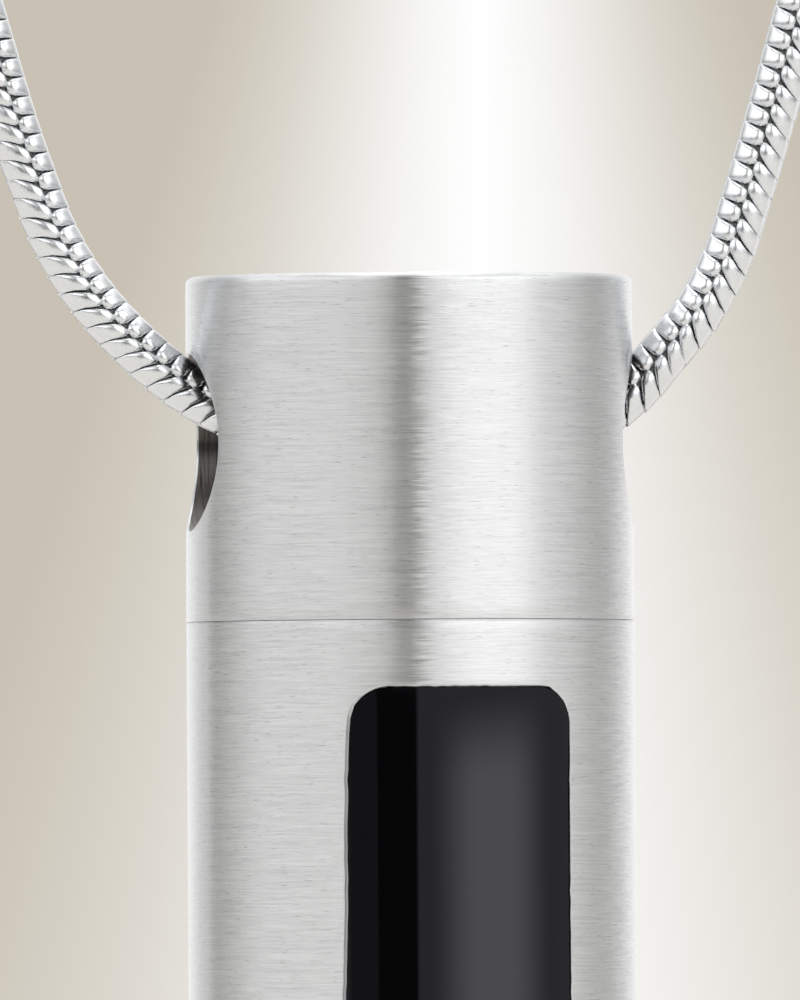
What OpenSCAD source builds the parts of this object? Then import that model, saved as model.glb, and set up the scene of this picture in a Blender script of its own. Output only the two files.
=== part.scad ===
// Keepsake urn pendant: a turned steel cylinder on a snake chain.
// The cap screws out of the tube, the tube holds the ash chamber, and a black panel lies in its front.
// Millimetres. +Z is up, the chain hangs in the XZ plane, and the pendant faces -Y.
// The origin is the middle of the clasp, where the necklace lies on the nape.

/* [Urn] */
// Outside diameter of the cap and of the tube
urn_d = 10; // [9:0.1:11]
// Height of the cap above the seam
cap_h = 7.7; // [7:0.1:10]
// Height of the tube below the seam
tube_h = 28.3; // [20:0.1:40]
// Rounding of the top and bottom outer edges
edge_r = 0.25; // [0.1:0.05:0.8]
// Small edge break on both sides of the seam
seam_break = 0.02; // [0.02:0.01:0.1]
// Gap between cap and tube at the seam
seam_gap = 0.04; // [0.02:0.01:0.1]

/* [Chain hole] */
// Diameter of the hole that the chain runs through
hole_d = 4.1; // [3.6:0.1:4.4]
// Depth of the hole's axis below the cap's top
hole_down = 3.75; // [3:0.05:4.5]
// Clearance between the chain and the top of the hole
seat_gap = 0.08; // [0.04:0.01:0.2]

/* [Screw and chamber] */
// Diameter of the stud over its thread
stud_d = 6; // [5:0.1:6.4]
// Length of the stud below the cap
stud_len = 4.5; // [3:0.1:7]
// Chamfer on the stud's end
stud_chamfer = 0.35; // [0.1:0.05:0.6]
// Radial clearance between the stud and the chamber's wall
thread_clear = 0.1; // [0.05:0.01:0.2]
// Thickness of the tube's closed bottom
floor_t = 1.6; // [1:0.1:3]

/* [Window and inlay] */
// Width of the window across its straight sides
window_w = 5.2; // [3:0.05:6]
// Height of the window
window_h = 24; // [10:0.1:26]
// Distance from the seam down to the window's top
window_down = 1.5; // [0.8:0.05:2]
// Corner radius of the window
window_r = 0.8; // [0.3:0.05:1.4]
// Turn of the window away from the chain hole's own front, about +Z
window_turn = 7; // [-30:1:30]
// Depth of the recess below the tube's outside
recess_t = 0.6; // [0.3:0.05:0.9]
// How far the inlay lies below the tube's outside
inlay_sink = 0.08; // [0.04:0.01:0.2]
// Gap round and under the inlay
inlay_gap = 0.03; // [0.01:0.01:0.06]

/* [Chain and clasp] */
// Outside diameter of the snake chain
chain_d = 1.1; // [0.9:0.05:1.3]
// Diameter of the clasp's barrel
clasp_d = 2.6; // [2:0.1:4]
// Length of the clasp's barrel
clasp_len = 12; // [11:0.5:16]
// Rounding of the barrel's ends
clasp_r = 0.5; // [0.2:0.1:0.8]
// Clearance round the chain's ends in the clasp
socket_gap = 0.03; // [0.02:0.01:0.1]

/* [Hidden] */
$fn = 96;
STEEL = "lightgray";
BLACK = "black";
CHAIN_SIDES = 8;
OVERLAP = 0.2; // how far a cutter runs past the face that it cuts

// The chain's centreline, from the clasp down the left side, through the cap and up the right side.
// Each row is x, z and the number of steps to the next point.
X = 0;
Z = 1;
STEPS = 2;
ROUTE = [
    [-4.5, 0, 1], [-7, 0, 2], [-13, -1.9, 2], [-24.2, -7.3, 3], [-37, -19.9, 3],
    [-43.7, -36.6, 2], [-43.1, -56, 2], [-39, -76, 2], [-34.8, -96, 2], [-26.6, -136, 2],
    [-18.8, -172, 2], [-12.4, -199.5, 2], [-9.7, -209.7, 2], [-8.45, -213.8, 2], [-7.9, -215.2, 2],
    [-7.1, -216.5, 2], [-6.15, -217.55, 2], [-4.7, -218.7, 2], [-2.5, -219.6, 2],
    [0, -219.9, 2], [2.4, -219.7, 2], [4.15, -219.2, 2], [5.05, -218.55, 2],
    [5.85, -217.65, 2], [6.6, -216.7, 2], [7.2, -215.55, 2], [7.65, -214.2, 2],
    [8.9, -209.9, 2], [11.7, -199.5, 2], [18.4, -172, 2], [26.2, -136, 2],
    [34.7, -96, 2], [39, -76, 2], [43.1, -56, 2], [43.7, -36.6, 2], [37, -19.9, 3],
    [24.2, -7.3, 2], [13, -1.9, 2], [7, 0, 1], [4.5, 0, 0]
];

function flat(lists) = [for (list = lists) for (item = list) item];
function at(i) = [ROUTE[i][X], ROUTE[i][Z]];
function along(i) = norm(at(i + 1) - at(i));

// Slope of the route at one of its points, from the chords on both sides of it.
function slope(i) =
    i == 0 ? (at(1) - at(0)) / along(0)
    : i == len(ROUTE) - 1 ? (at(i) - at(i - 1)) / along(i - 1)
    : let (a = along(i - 1), b = along(i))
        ((at(i + 1) - at(i)) / b * a + (at(i) - at(i - 1)) / a * b) / (a + b);

// A smooth curve between two route points, t from 0 to 1.
function between(i, t) = let (h = along(i))
    at(i) * (2 * t ^ 3 - 3 * t ^ 2 + 1) + slope(i) * h * (t ^ 3 - 2 * t ^ 2 + t)
    + at(i + 1) * (3 * t ^ 2 - 2 * t ^ 3) + slope(i + 1) * h * (t ^ 3 - t ^ 2);

last = len(ROUTE) - 1;
line = concat(
    flat([for (i = [0:last - 1]) [for (k = [0:ROUTE[i][STEPS] - 1]) between(i, k / ROUTE[i][STEPS])]]),
    [at(last)]
);
ways = [for (k = [0:len(line) - 1])
    let (d = line[min(k + 1, len(line) - 1)] - line[max(k - 1, 0)]) d / norm(d)];

// Height of the chain's upper side where it crosses one of the hole's two rims.
function upper_side(rim_x) = max([for (k = [0:len(line) - 2])
    let (a = line[k], b = line[k + 1])
    if ((a[X] - rim_x) * (b[X] - rim_x) <= 0 && a[Z] < -urn_d * 2)
        a[Z] + (b[Z] - a[Z]) * (rim_x - a[X]) / (b[X] - a[X])
        + chain_d / 2 * norm(b - a) / abs(b[X] - a[X])]);

urn_r = urn_d / 2;
hole_top = max(upper_side(-urn_r), upper_side(urn_r)) + seat_gap;
hole_z = hole_top - hole_d / 2;
cap_top = hole_z + hole_down;
seam_z = cap_top - cap_h;
tube_top = seam_z - seam_gap;
tube_bottom = tube_top - tube_h;
chamber_r = stud_d / 2 + thread_clear;
window_z = tube_top - window_down - window_h / 2;

// A turned cylinder standing on z = 0, with its own rounding at each end.
module turned(r, h, low_r, high_r) {
    rotate_extrude() {
        translate([0, low_r]) square([r, h - low_r - high_r]);
        square([r - low_r, h]);
        square([r - high_r, h]);
        translate([r - low_r, low_r]) quarter(low_r, -1);
        translate([r - high_r, h - high_r]) quarter(high_r, 1);
    }
}

// A quarter disc to the right of the axis, above it or below it.
module quarter(r, side) {
    intersection() {
        circle(r);
        translate([0, side < 0 ? -r : 0]) square(r);
    }
}

// The window's outline as a block that stands out of the front, smaller by inset on all sides.
module window_block(inset) {
    w = window_w - 2 * inset;
    h = window_h - 2 * inset;
    r = window_r - inset;
    translate([0, 0, window_z]) rotate([90, 0, window_turn]) linear_extrude(urn_d) {
        square([w, h - 2 * r], center = true);
        square([w - 2 * r, h], center = true);
        for (x = [-1, 1], y = [-1, 1]) translate([x * (w / 2 - r), y * (h / 2 - r)]) circle(r);
    }
}

// A ring between two radii, taller than the window.
module ring(outer, inner) {
    translate([0, 0, window_z - window_h / 2 - OVERLAP]) difference() {
        cylinder(r = outer, h = window_h + 2 * OVERLAP);
        translate([0, 0, -OVERLAP]) cylinder(r = inner, h = window_h + 4 * OVERLAP);
    }
}

module stud() {
    translate([0, 0, seam_z - stud_len]) {
        translate([0, 0, stud_chamfer]) cylinder(d = stud_d, h = stud_len - stud_chamfer + OVERLAP);
        cylinder(d1 = stud_d - 2 * stud_chamfer, d2 = stud_d, h = stud_chamfer);
    }
}

module cap() {
    color(STEEL) difference() {
        union() {
            translate([0, 0, seam_z]) turned(urn_r, cap_h, seam_break, edge_r);
            stud();
        }
        translate([0, 0, hole_z]) rotate([0, 90, 0]) cylinder(d = hole_d, h = 2 * urn_d, center = true);
    }
}

module tube() {
    color(STEEL) difference() {
        translate([0, 0, tube_bottom]) turned(urn_r, tube_h, edge_r, seam_break);
        translate([0, 0, tube_bottom + floor_t]) cylinder(r = chamber_r, h = tube_h);
        intersection() {
            window_block(0);
            ring(urn_d, urn_r - recess_t);
        }
    }
}

module inlay() {
    color(BLACK) intersection() {
        window_block(inlay_gap);
        ring(urn_r - inlay_sink, urn_r - recess_t + inlay_gap);
    }
}

// One polyhedron swept along the route, a ring at each step.
module chain() {
    rings = [for (k = [0:len(line) - 1]) [for (j = [0:CHAIN_SIDES - 1])
        let (a = 360 * (j + 0.5) / CHAIN_SIDES, out = chain_d / 2 * cos(a), way = ways[k])
        [line[k][X] + out * way[Z], chain_d / 2 * sin(a), line[k][Z] - out * way[X]]]];
    walls = flat([for (k = [0:len(rings) - 2]) [for (j = [0:CHAIN_SIDES - 1])
        let (a = k * CHAIN_SIDES, n = (j + 1) % CHAIN_SIDES)
        [a + j, a + n, a + CHAIN_SIDES + n, a + CHAIN_SIDES + j]]]);
    first_end = [for (j = [CHAIN_SIDES - 1:-1:0]) j];
    last_end = [for (j = [0:CHAIN_SIDES - 1]) (len(rings) - 1) * CHAIN_SIDES + j];
    color(STEEL) polyhedron(points = flat(rings), faces = concat(walls, [first_end, last_end]));
}

// A plain barrel with a socket at each end for the chain.
module clasp() {
    socket_r = chain_d / 2 + socket_gap;
    core = 2 * (abs(ROUTE[0][X]) - socket_gap);
    color(STEEL) difference() {
        translate([-clasp_len / 2, 0, 0]) rotate([0, 90, 0])
            turned(clasp_d / 2, clasp_len, clasp_r, clasp_r);
        difference() {
            rotate([0, 90, 0]) cylinder(r = socket_r, h = 2 * clasp_len, center = true);
            cube([core, clasp_d, clasp_d], center = true);
        }
    }
}

cap();
tube();
inlay();
chain();
clasp();
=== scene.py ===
# %% [markdown]
# A keepsake urn pendant, step by step. The real one is a small turned steel bottle: a cap with a cross hole
# for the chain screws into a tube that holds the ashes, and a glossy black panel lies in the tube's front.
# Each step says what a piece is, how it could be made and why it is made this way here.

# %% The frame
import math

import bmesh
import bpy
import numpy as np
from mathutils import Matrix, Vector


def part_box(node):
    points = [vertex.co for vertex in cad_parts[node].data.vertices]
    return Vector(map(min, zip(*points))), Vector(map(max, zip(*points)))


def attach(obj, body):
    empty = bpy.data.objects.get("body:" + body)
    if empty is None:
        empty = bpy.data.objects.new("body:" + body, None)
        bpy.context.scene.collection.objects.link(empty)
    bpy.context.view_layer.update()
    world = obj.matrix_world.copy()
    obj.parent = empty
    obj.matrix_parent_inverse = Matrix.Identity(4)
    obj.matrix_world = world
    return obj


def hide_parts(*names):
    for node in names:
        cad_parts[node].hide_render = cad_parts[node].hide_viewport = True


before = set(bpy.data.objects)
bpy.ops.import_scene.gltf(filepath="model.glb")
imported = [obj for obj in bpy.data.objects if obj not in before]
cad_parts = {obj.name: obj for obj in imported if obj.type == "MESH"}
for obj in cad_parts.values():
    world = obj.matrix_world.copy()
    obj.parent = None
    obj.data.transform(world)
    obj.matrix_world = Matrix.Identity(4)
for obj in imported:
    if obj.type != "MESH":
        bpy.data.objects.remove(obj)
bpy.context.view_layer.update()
MM = 0.001

# %% [markdown]
# Every size that the solids already have is read from them, so the looks always fit the construction.
# Only what a box can't tell, such as a hole's width, is repeated here by name. Lengths are in millimetres
# until a mesh is made, because a pendant is easier to think of in millimetres than in metres.

# %% Sizes that come from the solids
cap_low, cap_high = (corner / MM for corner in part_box("cap"))
tube_low, tube_high = (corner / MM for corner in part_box("tube"))
clasp_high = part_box("clasp")[1] / MM
URN_R = tube_high.x
CAP_TOP = cap_high.z
TUBE_TOP = tube_high.z
TUBE_BOTTOM = tube_low.z
STUD_END = cap_low.z
SEAM_GAP = 0.04
SEAM = TUBE_TOP + SEAM_GAP
EDGE_R = 0.25
SEAM_BREAK = 0.015
SEAM_LIP = 0.03
print(f"cap {CAP_TOP - SEAM:.2f} mm high, tube {TUBE_TOP - TUBE_BOTTOM:.2f} mm high, radius {URN_R:.2f} mm")

# %% [markdown]
# The camera stands a little to the left of the pendant's front and a touch below it, as the product
# photographer did. A very long lens from most of a metre away keeps the cylinder's sides almost parallel.
# The picture is 1000 pixels high and shows 22.3 mm of the pendant, which gives the distance.

# %% The camera
VIEW_TURN = math.radians(-7.0)
VIEW_RISE = math.radians(-0.8)
VIEW_ROLL = math.radians(-0.35)
LENS = 1350.0
SENSOR = 36.0
PICTURE_HEIGHT = 22.3
AIM_X = -0.218
AIM_Z = SEAM + 2.705


def direction(turn, rise=0.0):
    """The unit vector away from the pendant, turned round it from the front and raised above level."""
    return Vector((math.sin(turn) * math.cos(rise), -math.cos(turn) * math.cos(rise), math.sin(rise)))


def new_object(name, data):
    """A new object with that data, in the scene."""
    made = bpy.data.objects.new(name, data)
    bpy.context.scene.collection.objects.link(made)
    return made


distance = LENS * PICTURE_HEIGHT / SENSOR
view_right = Vector((math.cos(VIEW_TURN), math.sin(VIEW_TURN), 0.0))
aim = view_right * AIM_X + Vector((0.0, 0.0, AIM_Z))
camera = new_object("camera", bpy.data.cameras.new("camera"))
camera.location = (aim + direction(VIEW_TURN, VIEW_RISE) * distance) * MM
look = (-direction(VIEW_TURN, VIEW_RISE)).to_track_quat("-Z", "Y").to_matrix()
camera.rotation_euler = (look @ Matrix.Rotation(VIEW_ROLL, 3, "Z")).to_euler()
camera.data.lens = LENS
camera.data.sensor_width = SENSOR
camera.data.clip_start = 0.01
bpy.context.scene.camera = camera
bpy.context.scene.view_settings.view_transform = "Standard"
print(f"the camera stands {distance:.0f} mm away")

# %% [markdown]
# The snake chain's route is a short list of given points, the same one that the solid model sweeps its
# plain tube along: down the left side, through the cap and up the right side, in metres. Between two
# points runs a cubic curve whose slopes come from the neighbouring chords, so that it never kinks.

# %% The chain's route
ROUTE = [
    (-0.0045, 0), (-0.007, 0), (-0.013, -0.0019), (-0.0242, -0.0073), (-0.037, -0.0199),
    (-0.0437, -0.0366), (-0.0431, -0.056), (-0.039, -0.076), (-0.0348, -0.096), (-0.0266, -0.136),
    (-0.0188, -0.172), (-0.0124, -0.1995), (-0.0097, -0.2097), (-0.00845, -0.2138), (-0.0079, -0.2152),
    (-0.0071, -0.2165), (-0.00615, -0.21755), (-0.0047, -0.2187), (-0.0025, -0.2196),
    (0, -0.2199), (0.0024, -0.2197), (0.00415, -0.2192), (0.00505, -0.21855),
    (0.00585, -0.21765), (0.0066, -0.2167), (0.0072, -0.21555), (0.00765, -0.2142),
    (0.0089, -0.2099), (0.0117, -0.1995), (0.0184, -0.172), (0.0262, -0.136),
    (0.0347, -0.096), (0.039, -0.076), (0.0431, -0.056), (0.0437, -0.0366), (0.037, -0.0199),
    (0.0242, -0.0073), (0.013, -0.0019), (0.007, 0), (0.0045, 0),
]
SPAN_STEPS = 16


def smooth_route(points, steps):
    """A smooth line through the points, steps to a span, as an array of x and z."""
    p = np.array(points)
    chord = np.linalg.norm(np.diff(p, axis=0), axis=1)
    chord_slope = np.diff(p, axis=0) / chord[:, None]
    before, after = chord[:-1, None], chord[1:, None]
    slope = np.vstack([
        chord_slope[:1],
        (chord_slope[1:] * before + chord_slope[:-1] * after) / (before + after),
        chord_slope[-1:],
    ])
    line = []
    for i, h in enumerate(chord):
        t = np.arange(steps)[:, None] / steps
        line.append(
            p[i] * (2 * t**3 - 3 * t**2 + 1) + slope[i] * h * (t**3 - 2 * t**2 + t)
            + p[i + 1] * (3 * t**2 - 2 * t**3) + slope[i + 1] * h * (t**3 - t**2)
        )
    return np.vstack(line + [p[-1:]])


def lengths_along(points):
    """The way along a line from its first point to each of its points."""
    return np.concatenate([[0.0], np.cumsum(np.linalg.norm(np.diff(points, axis=0), axis=1))])


route = smooth_route(ROUTE, SPAN_STEPS)
route_length = float(np.linalg.norm(np.diff(route, axis=0), axis=1).sum())
print(f"the chain's own length is {route_length / MM:.1f} mm")

# %% [markdown]
# Materials come next. Real colours are measured as sRGB hex values, and a renderer works in linear light,
# so one function turns the one into the other. Another adds a node with its settings and its links, which
# is all that a material or a geometry tree needs.

# %% Helpers for every node tree


def linear(hex_colour):
    """A hex colour in linear light, with an alpha of 1."""
    parts = [int(hex_colour[i:i + 2], 16) / 255 for i in (1, 3, 5)]
    return [c / 12.92 if c <= 0.04045 else ((c + 0.055) / 1.055) ** 2.4 for c in parts] + [1.0]


def add(tree, kind, inputs=None, **settings):
    """Adds a node. Each input is a plain value, or the output socket of another node to link."""
    made = tree.nodes.new(kind)
    for name, value in settings.items():
        setattr(made, name, value)
    for name, value in (inputs or {}).items():
        if isinstance(value, bpy.types.NodeSocket):
            tree.links.new(value, made.inputs[name])
        else:
            made.inputs[name].default_value = value
    return made


def new_material(name):
    """An empty material and its node tree."""
    material = bpy.data.materials.new(name)
    material.use_nodes = True
    material.node_tree.nodes.clear()
    return material, material.node_tree


print("white in linear light is", linear("#ffffff"))

# %% [markdown]
# The urn is stainless steel, brushed round its axis with a fine belt. The grooves mirror the room sharply
# from side to side and smear it up and down, which gives the eye tall bands of light with feathered edges.
# So the shader is anisotropic, with its tangent along the axis, and the brush marks are noise that is
# stretched along the grooves. The marks are drawn 0.026 mm wide, a little coarser than real ones, to show.
# They drift a little along the axis, and some are short dark dashes, where the belt tore the surface. A
# noise's value lies between 0.3 and 0.7 nearly everywhere, so most ranges below start from that.

# %% Brushed stainless steel
MARK_WIDTH = 0.026
MARK_LENGTH = 0.7
LONG_MARK = 2.2
MARK_GRAIN = 0.6
DRIFT_SCALE = 0.8
DRIFT = 0.08
NOISE_LOW = 0.3
NOISE_HIGH = 0.7
TONE_LOW = 0.7
TONE_HIGH = 1.3
DASH_LOW = 0.18
DASH_HIGH = 0.30
DASH_TONE = 0.62
ROUGH_SPREAD = 0.03
BRUSH_MAP = "brush"


def brushed_steel(name, light, dark, roughness, depth, sway):
    """Steel with brush marks along V of the brush map, whose U and V are in mm on the surface."""
    material, tree = new_material(name)
    where = add(tree, "ShaderNodeUVMap", uv_map=BRUSH_MAP).outputs["UV"]
    drift = add(tree, "ShaderNodeTexNoise", {"Vector": where, "Scale": DRIFT_SCALE, "Detail": 1.0})
    bend = add(tree, "ShaderNodeVectorMath", {
        0: drift.outputs["Color"], 1: (DRIFT, 0.0, 0.0),
    }, operation="MULTIPLY").outputs[0]
    bent = add(tree, "ShaderNodeVectorMath", {0: where, 1: bend}, operation="ADD").outputs[0]
    marks = []
    for width, length, detail, place in (
        # the fine, long and short marks, each from a place of its own in the noise
        (MARK_WIDTH, MARK_LENGTH, 3.0, 0.0),
        (MARK_WIDTH * 1.6, LONG_MARK, 2.0, 31.0),
        (MARK_WIDTH * 1.1, MARK_LENGTH * 0.5, 1.0, 67.0),
    ):
        moved = add(tree, "ShaderNodeMapping", {
            "Vector": bent, "Location": (place, place, 0.0), "Scale": (1 / width, 1 / length, 1.0),
        }).outputs[0]
        marks.append(add(tree, "ShaderNodeTexNoise", {
            "Vector": moved, "Scale": 1.0, "Detail": detail, "Roughness": MARK_GRAIN,
        }, noise_dimensions="2D").outputs["Fac"])
    fine, long, short = marks
    both = add(tree, "ShaderNodeMath", {0: fine, 1: long}, operation="ADD").outputs[0]
    tone = add(tree, "ShaderNodeMapRange", {
        "Value": both, "From Min": TONE_LOW, "From Max": TONE_HIGH, "To Min": 0.0, "To Max": 1.0,
    }).outputs[0]
    dash = add(tree, "ShaderNodeMapRange", {
        "Value": short, "From Min": DASH_LOW, "From Max": DASH_HIGH, "To Min": DASH_TONE, "To Max": 1.0,
    }).outputs[0]
    colour = add(tree, "ShaderNodeMix", {
        "Factor": tone, 6: linear(dark), 7: linear(light),
    }, data_type="RGBA").outputs[2]
    dashed = add(tree, "ShaderNodeVectorMath", {0: colour, "Scale": dash}, operation="SCALE").outputs[0]
    bump = add(tree, "ShaderNodeBump", {
        "Strength": 1.0, "Distance": depth * MM, "Height": both,
    }).outputs[0]
    along = add(tree, "ShaderNodeTangent", direction_type="UV_MAP", uv_map=BRUSH_MAP).outputs[0]
    across = add(tree, "ShaderNodeVectorMath", {
        0: along, 1: bump,
    }, operation="CROSS_PRODUCT").outputs[0]
    side = add(tree, "ShaderNodeMapRange", {
        "Value": fine, "From Min": NOISE_LOW, "From Max": NOISE_HIGH, "To Min": -sway, "To Max": sway,
    }).outputs[0]
    swung = add(tree, "ShaderNodeVectorMath", {0: across, "Scale": side}, operation="SCALE").outputs[0]
    tilted = add(tree, "ShaderNodeVectorMath", {0: bump, 1: swung}, operation="ADD").outputs[0]
    normal = add(tree, "ShaderNodeVectorMath", {0: tilted}, operation="NORMALIZE").outputs[0]
    rough = add(tree, "ShaderNodeMapRange", {
        "Value": long, "From Min": NOISE_LOW, "From Max": NOISE_HIGH,
        "To Min": roughness - ROUGH_SPREAD, "To Max": roughness + ROUGH_SPREAD,
    }).outputs[0]
    shader = add(tree, "ShaderNodeBsdfPrincipled", {
        "Base Color": dashed, "Metallic": 1.0, "Roughness": rough, "Anisotropic": 1.0,
        "Tangent": along, "Normal": normal,
    })
    add(tree, "ShaderNodeOutputMaterial", {"Surface": shader.outputs[0]})
    return material


STEEL = brushed_steel("belt_brushed_steel", "#d8d9da", "#c5c6c7", roughness=0.30, depth=0.001, sway=0.03)
# the bore's steel is painted darker, as shade inside the hole and the mouth; its drill marks are real
BORE_SHADE_STEEL = brushed_steel("drilled_steel_painted_shade", "#86817d", "#4c4846", roughness=0.38, depth=0.003, sway=0.05)
print("made", STEEL.name, "and", BORE_SHADE_STEEL.name)

# %% [markdown]
# The panel is black enamel resin, poured and polished like piano lacquer. It has no colour of its own to
# speak of: what the eye sees is the studio mirrored in it, with a trace of haze from polishing.

# %% Black resin
HAZE_PER_MM = 0.9
CLEAR_ROUGHNESS = 0.035
HAZY_ROUGHNESS = 0.055


def black_resin():
    """A clear black that mirrors the room, with a haze that comes and goes over about a millimetre."""
    material, tree = new_material("polished_black_resin")
    where = add(tree, "ShaderNodeTexCoord").outputs["Object"]
    haze = add(tree, "ShaderNodeTexNoise", {"Vector": where, "Scale": HAZE_PER_MM / MM, "Detail": 2.0})
    rough = add(tree, "ShaderNodeMapRange", {
        "Value": haze.outputs["Fac"], "From Min": NOISE_LOW, "From Max": NOISE_HIGH,
        "To Min": CLEAR_ROUGHNESS, "To Max": HAZY_ROUGHNESS,
    }).outputs[0]
    shader = add(tree, "ShaderNodeBsdfPrincipled", {
        "Base Color": linear("#020203"), "Roughness": rough, "IOR": 1.5,
        "Specular Tint": linear("#eeeefc"),
    })
    add(tree, "ShaderNodeOutputMaterial", {"Surface": shader.outputs[0]})
    return material


RESIN = black_resin()
print("made", RESIN.name)

# %% [markdown]
# The chain's links are stamped from steel strip and tumbled until they shine. They are smoother than the
# urn, with soft marks from tumbling. The core behind them is the same steel painted darker, as shade in the
# gaps between the links.

# %% Tumbled chain steel
WEAR_PER_MM = 5.0
WEAR_DEPTH = 0.004
WEAR_SMOOTHER = 0.05
WEAR_ROUGHER = 0.06


def tumbled_steel(name, light, dark, roughness):
    """Steel with soft marks that change over about a fifth of a millimetre."""
    material, tree = new_material(name)
    where = add(tree, "ShaderNodeTexCoord").outputs["Object"]
    wear = add(tree, "ShaderNodeTexNoise", {
        "Vector": where, "Scale": WEAR_PER_MM / MM, "Detail": 4.0,
    }).outputs["Fac"]
    colour = add(tree, "ShaderNodeMix", {
        "Factor": wear, 6: linear(dark), 7: linear(light),
    }, data_type="RGBA").outputs[2]
    rough = add(tree, "ShaderNodeMapRange", {
        "Value": wear, "From Min": NOISE_LOW, "From Max": NOISE_HIGH,
        "To Min": roughness - WEAR_SMOOTHER, "To Max": roughness + WEAR_ROUGHER,
    }).outputs[0]
    bump = add(tree, "ShaderNodeBump", {
        "Strength": 1.0, "Distance": WEAR_DEPTH * MM, "Height": wear,
    }).outputs[0]
    shader = add(tree, "ShaderNodeBsdfPrincipled", {
        "Base Color": colour, "Metallic": 1.0, "Roughness": rough, "Normal": bump,
    })
    add(tree, "ShaderNodeOutputMaterial", {"Surface": shader.outputs[0]})
    return material


LINK_STEEL = tumbled_steel("tumbled_chain_steel", "#e6e8ea", "#d6d8da", 0.26)
# the core's darker colours are painted shade for the gaps between the links
CORE_SHADE_STEEL = tumbled_steel("shaded_core_steel", "#7d7c7a", "#5f5e5c", 0.45)
print("made", LINK_STEEL.name, "and", CORE_SHADE_STEEL.name)

# %% [markdown]
# The urn's parts are turned on a lathe and then drilled or milled. Booleans would cut such holes quickly,
# but they leave long thin faces that wrinkle a mirror finish. Here every surface is a grid of points that
# lie exactly on it, and a patch round each hole runs from the hole's edge out to a neat rectangle.
# A solid is a list of such patches. They share their edge points, so merging doubles closes the mesh.

# %% Patches of surface
MERGE = 0.0004
SHARP_ANGLE = math.radians(50)
WALL = 0
INSIDE = 1


def patch(points, u, v, finish=WALL):
    """One grid of points with its brush map in mm, ready for solid()."""
    u, v = np.broadcast_arrays(u, v)
    return np.asarray(points, float), np.stack([u, v], -1), finish


def solid(name, patches, materials):
    """Joins patches into one closed mesh object in metres, with smooth faces that point outwards."""
    points, faces, maps, finishes, start = [], [], [], [], 0
    for grid, brush, finish in patches:
        rows, columns = grid.shape[:2]
        index = start + np.arange(rows * columns).reshape(rows, columns)
        quads = np.stack([index[:-1, :-1], index[:-1, 1:], index[1:, 1:], index[1:, :-1]], -1)
        quads = quads.reshape(-1, 4)
        points.append(grid.reshape(-1, 3))
        maps.append(brush.reshape(-1, 2))
        faces.append(quads)
        finishes += [finish] * len(quads)
        start += rows * columns
    faces = np.vstack(faces)
    mesh = bpy.data.meshes.new(name)
    mesh.from_pydata((np.vstack(points) * MM).tolist(), [], faces.tolist())
    layer = mesh.uv_layers.new(name=BRUSH_MAP)
    layer.data.foreach_set("uv", np.vstack(maps)[faces.ravel()].astype(np.float32).ravel())
    mesh.polygons.foreach_set("material_index", finishes)
    for material in materials:
        mesh.materials.append(material)
    made = bmesh.new()
    made.from_mesh(mesh)
    bmesh.ops.remove_doubles(made, verts=made.verts, dist=MERGE * MM)
    bmesh.ops.dissolve_degenerate(made, edges=made.edges, dist=MERGE * MM * 0.5)
    bmesh.ops.recalc_face_normals(made, faces=made.faces)
    open_edges = sum(not edge.is_manifold for edge in made.edges)
    made.to_mesh(mesh)
    made.free()
    mesh.shade_smooth()
    mesh.set_sharp_from_angle(angle=SHARP_ANGLE)
    print(f"{name}: {len(mesh.polygons)} faces, {open_edges} open edges")
    return new_object(name, mesh)


# %% Round things
STEP = math.radians(2.0)


def on_round(radius, turn, z):
    """Points on a cylinder: turn goes from the front towards +X."""
    radius, turn, z = np.broadcast_arrays(radius, turn, z)
    return np.stack([radius * np.sin(turn), -radius * np.cos(turn), z], -1)


def lathe(profile, turns):
    """Turns a profile of (radius, z) rows round the axis, at the given turns."""
    profile = np.array(profile, float)
    points = on_round(profile[:, :1], turns[None, :], profile[:, 1:])
    return patch(points, lengths_along(profile)[:, None], turns[None, :] * URN_R)


def corner(radius, z, size, first, last, steps=6):
    """Rows of (radius, z) round a corner's centre, between two angles in degrees."""
    angles = np.radians(np.linspace(first, last, steps + 1))
    return [(radius + size * math.cos(a), z + size * math.sin(a)) for a in angles]


def arc(first, last):
    """Turns from first to last in steps of about 2 degrees."""
    return np.linspace(first, last, max(2, round((last - first) / STEP)) + 1)


print(f"a full turn has {len(arc(-math.pi, math.pi)) - 1} faces")

# %% Loops and the surface between them
RIM_WAY = 0.1


def loop_of(grid):
    """The outer points of a grid in order, closed: bottom row, right side, top row, left side."""
    return np.concatenate([grid[0, :-1], grid[:-1, -1], grid[-1, :0:-1], grid[:0:-1, 0], grid[:1, 0]])


def rectangle(turns, heights):
    """The closed outline of a rectangle on the unrolled wall, as (turn, z) pairs."""
    turn, z = np.meshgrid(turns, heights)
    return loop_of(np.stack([turn, z], -1))


def around(inner, outer, shares):
    """The wall between two closed outlines of (turn, z), with a ring of points at each share of the way."""
    mixed = inner[None] + (outer - inner)[None] * np.asarray(shares)[:, None, None]
    turn, z = mixed[..., 0], mixed[..., 1]
    return patch(on_round(URN_R, turn, z), z, turn * URN_R)


def rounded(start, edge, end, steps):
    """A soft rim: a curve from start to end that bends round the sharp edge, for a whole loop of points."""
    t = np.linspace(0, 1, steps + 1)[:, None, None]
    points = start * (1 - t) ** 2 + edge * 2 * t * (1 - t) + end * t**2
    way = np.linspace(0, RIM_WAY, steps + 1)[:, None]
    return patch(points, way, lengths_along(edge)[None, :])


print("a loop of a 3 by 3 grid has", len(loop_of(np.zeros((3, 3, 2)))), "points")

# %% [markdown]
# The cap is one turned piece. A hole runs across it for the chain, drilled and then softened by the same
# brushing as the outside, so its rim has no sharp edge and is widest at its low end, where the burr was
# taken off. Where a round hole meets a round wall, its edge is a saddle curve: each of its points is worked
# out from the drill's circle and set on the wall. The cap's top edge is a thin soft one, given as a table.

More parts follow.
